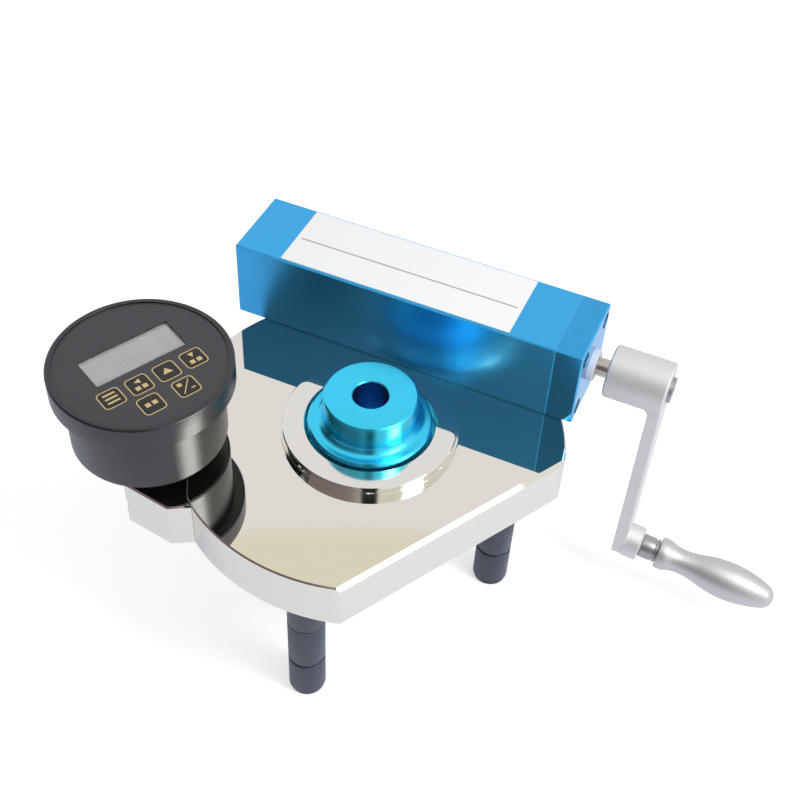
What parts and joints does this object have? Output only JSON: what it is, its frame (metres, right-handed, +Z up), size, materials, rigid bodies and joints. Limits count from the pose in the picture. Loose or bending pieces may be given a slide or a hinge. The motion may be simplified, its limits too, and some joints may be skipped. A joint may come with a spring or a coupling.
{
  "type": "pull-off adhesion tester",
  "caption": "Hand-cranked hydraulic pull-off tester: polished round base on three legs, hollow piston, pump block with crank, digital force gauge on a lug.",
  "frame": {"origin": "on the pulling axis, level with the top face of the round plate", "axes": "+Z up along the pulling axis, +X along the pump block towards the crank, +Y towards the pump block"},
  "size_m": [0.3696, 0.2006, 0.1926],
  "materials": {
    "mirror_plate": "nickel plated and mirror polished",
    "mirror_ring": "hard chrome, polished",
    "block_blue": "blue anodised, satin gloss",
    "piston_blue": "bright blue anodised, turned",
    "leg_slate": "dark slate anodised, satin",
    "pad_rubber": "moulded rubber",
    "seal_rubber": "moulded nitrile",
    "dark_steel": "black oxide",
    "bright_steel": "ground and polished",
    "bronze": "turned bronze",
    "bush_white": "turned acetal",
    "crank_alloy": "satin, bead blasted",
    "gauge_black": "black anodised, satin",
    "face_black": "printed overlay, matt",
    "key_black": "printed overlay with gold outlines",
    "lens_clear": "clear window",
    "lcd_grey": "grey liquid crystal",
    "board_green": "solder mask",
    "cell_metal": "wrapped cells",
    "label_white": "bare white film"
  },
  "bodies": {
    "frame": {"base_plate": "mirror_plate", "gauge_lug": "mirror_plate", "lug_screws": "bright_steel", "port_seals": "seal_rubber", "cylinder_liner": "mirror_ring", "cover_ring": "mirror_ring", "ring_screws": "dark_steel", "stem_seal": "seal_rubber", "pump_block": "block_blue", "end_cap": "block_blue", "cap_screws": "dark_steel", "block_bolts": "dark_steel", "oil_plugs": "dark_steel", "name_label": "label_white", "plunger_seal": "seal_rubber", "plunger_gland": "bronze", "thrust_race_fixed": "bright_steel", "thrust_rollers": "bright_steel", "shaft_bush": "bush_white", "gauge_stem": "gauge_black", "pressure_sensor": "bright_steel", "gauge_case": "gauge_black", "case_gasket": "seal_rubber", "gauge_bezel": "gauge_black", "bezel_screws": "dark_steel", "face_plate": "face_black", "display_lens": "lens_clear", "lcd_module": "lcd_grey", "circuit_board": "board_green", "key_switches": "face_black", "battery_cells": "cell_metal", "leg_post_1": "leg_slate", "leg_extension_1": "leg_slate", "leg_post_2": "leg_slate", "leg_extension_2": "leg_slate", "leg_post_3": "leg_slate", "leg_extension_3": "leg_slate"},
    "crank": {"lead_screw": "bright_steel", "thrust_race_turning": "bright_steel", "crank_arm": "crank_alloy", "crank_screw": "bright_steel", "grip_spindle": "bright_steel", "spindle_nut": "bright_steel"},
    "grip": {"grip": "crank_alloy"},
    "plunger": {"plunger": "bright_steel", "drive_nut": "bronze"},
    "piston": {"piston": "piston_blue", "piston_seal": "seal_rubber"},
    "foot_1": {"foot_1": "leg_slate", "foot_pad_1": "pad_rubber"},
    "foot_2": {"foot_2": "leg_slate", "foot_pad_2": "pad_rubber"},
    "foot_3": {"foot_3": "leg_slate", "foot_pad_3": "pad_rubber"},
    "key_1": {"key_1": "key_black"},
    "key_2": {"key_2": "key_black"},
    "key_3": {"key_3": "key_black"},
    "key_4": {"key_4": "key_black"},
    "key_5": {"key_5": "key_black"},
    "key_6": {"key_6": "key_black"}
  },
  "joints": [
    {"name": "crank_turn", "type": "hinge", "parent": "frame", "child": "crank", "pos_m": [0.095, 0.0738, 0.024], "axis": [-1, 0, 0], "range_deg": [0, 10800]},
    {"name": "grip_spin", "type": "hinge", "parent": "crank", "child": "grip", "pos_m": [0.15633, 0.06863, -0.09936], "axis": [0.9965, -0.0035, -0.0836], "continuous": true},
    {"name": "plunger_slide", "type": "slide", "parent": "frame", "child": "plunger", "axis": [-1, 0, 0], "range_m": [0, 0.06]},
    {"name": "piston_lift", "type": "slide", "parent": "frame", "child": "piston", "axis": [0, 0, 1], "range_m": [0, 0.0045]},
    {"name": "foot_1_level", "type": "slide", "parent": "frame", "child": "foot_1", "axis": [0, 0, -1], "range_m": [0, 0.008]},
    {"name": "foot_2_level", "type": "slide", "parent": "frame", "child": "foot_2", "axis": [0, 0, -1], "range_m": [0, 0.008]},
    {"name": "foot_3_level", "type": "slide", "parent": "frame", "child": "foot_3", "axis": [0, 0, -1], "range_m": [0, 0.008]},
    {"name": "key_1_press", "type": "slide", "parent": "frame", "child": "key_1", "axis": [0, 0, -1], "range_m": [0, 0.0004], "stiffness_N_per_m": 800},
    {"name": "key_2_press", "type": "slide", "parent": "frame", "child": "key_2", "axis": [0, 0, -1], "range_m": [0, 0.0004], "stiffness_N_per_m": 800},
    {"name": "key_3_press", "type": "slide", "parent": "frame", "child": "key_3", "axis": [0, 0, -1], "range_m": [0, 0.0004], "stiffness_N_per_m": 800},
    {"name": "key_4_press", "type": "slide", "parent": "frame", "child": "key_4", "axis": [0, 0, -1], "range_m": [0, 0.0004], "stiffness_N_per_m": 800},
    {"name": "key_5_press", "type": "slide", "parent": "frame", "child": "key_5", "axis": [0, 0, -1], "range_m": [0, 0.0004], "stiffness_N_per_m": 800},
    {"name": "key_6_press", "type": "slide", "parent": "frame", "child": "key_6", "axis": [0, 0, -1], "range_m": [0, 0.0004], "stiffness_N_per_m": 800}
  ],
  "couplings": [
    {"joint": "plunger_slide", "follows": "crank_turn", "m_per_rad": 0.00031831},
    {"joint": "piston_lift", "follows": "crank_turn", "m_per_rad": 0.000023439}
  ]
}
